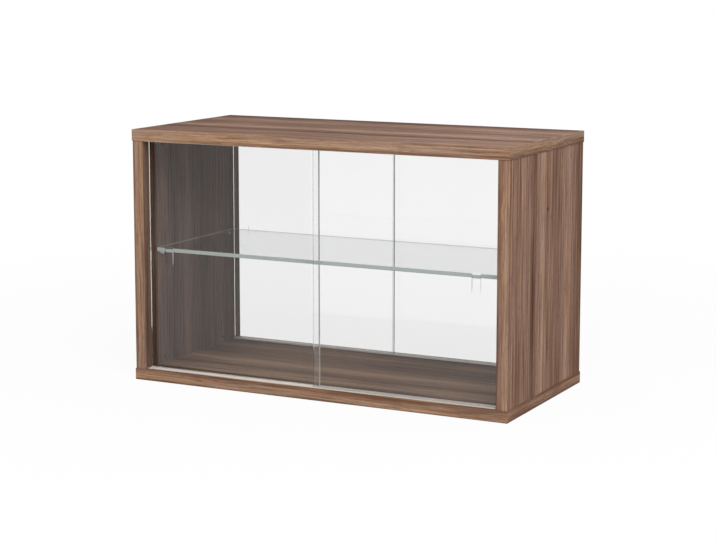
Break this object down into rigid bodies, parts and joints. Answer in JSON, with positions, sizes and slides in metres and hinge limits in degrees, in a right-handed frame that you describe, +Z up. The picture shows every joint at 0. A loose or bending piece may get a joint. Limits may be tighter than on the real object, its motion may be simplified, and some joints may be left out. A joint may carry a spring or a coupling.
{
  "type": "display cabinet",
  "caption": "Low walnut-effect display cabinet with sliding glass doors at front and back and a glass shelf on pins.",
  "frame": {"origin": "middle of the cabinet's underside, on the floor", "axes": "+X to the right as seen from the front, +Y towards the back, +Z up; the front doors face -Y"},
  "size_m": [0.64, 0.3, 0.4],
  "materials": {
    "walnut_board": "matt walnut-effect foil on particleboard",
    "walnut_edge": "matt walnut-effect edge band",
    "track_aluminium": "satin anodised extrusion",
    "door_glass": "clear float glass, ground edges",
    "shelf_glass": "clear float glass, ground edges",
    "pin_steel": "bright zinc",
    "sleeve_plastic": "clear soft plastic",
    "glide_nylon": "natural nylon",
    "fitting_steel": "black zinc",
    "dowel_beech": "fluted beech"
  },
  "bodies": {
    "carcass": {"top_panel": "walnut_board", "bottom_panel": "walnut_board", "left_side_panel": "walnut_board", "right_side_panel": "walnut_board", "top_front_edge_band": "walnut_edge", "top_back_edge_band": "walnut_edge", "top_left_edge_band": "walnut_edge", "top_right_edge_band": "walnut_edge", "bottom_front_edge_band": "walnut_edge", "bottom_back_edge_band": "walnut_edge", "bottom_left_edge_band": "walnut_edge", "bottom_right_edge_band": "walnut_edge", "left_front_edge_band": "walnut_edge", "left_back_edge_band": "walnut_edge", "right_front_edge_band": "walnut_edge", "right_back_edge_band": "walnut_edge", "front_bottom_track": "track_aluminium", "front_top_track": "track_aluminium", "back_bottom_track": "track_aluminium", "back_top_track": "track_aluminium", "glass_shelf": "shelf_glass", "shelf_pins": "pin_steel", "shelf_pin_sleeves": "sleeve_plastic", "connector_bolts": "fitting_steel", "connector_set_screws": "fitting_steel", "corner_dowels": "dowel_beech"},
    "front_left_door": {"front_left_door": "door_glass", "front_left_door_glides": "glide_nylon"},
    "front_right_door": {"front_right_door": "door_glass", "front_right_door_glides": "glide_nylon"},
    "back_left_door": {"back_left_door": "door_glass", "back_left_door_glides": "glide_nylon"},
    "back_right_door": {"back_right_door": "door_glass", "back_right_door_glides": "glide_nylon"}
  },
  "joints": [
    {"name": "front_left_door_slide", "type": "slide", "parent": "carcass", "child": "front_left_door", "axis": [1, 0, 0], "range_m": [0, 0.2975]},
    {"name": "front_right_door_slide", "type": "slide", "parent": "carcass", "child": "front_right_door", "axis": [-1, 0, 0], "range_m": [0, 0.2975]},
    {"name": "back_left_door_slide", "type": "slide", "parent": "carcass", "child": "back_left_door", "axis": [1, 0, 0], "range_m": [0, 0.2975]},
    {"name": "back_right_door_slide", "type": "slide", "parent": "carcass", "child": "back_right_door", "axis": [-1, 0, 0], "range_m": [0, 0.2975]}
  ]
}
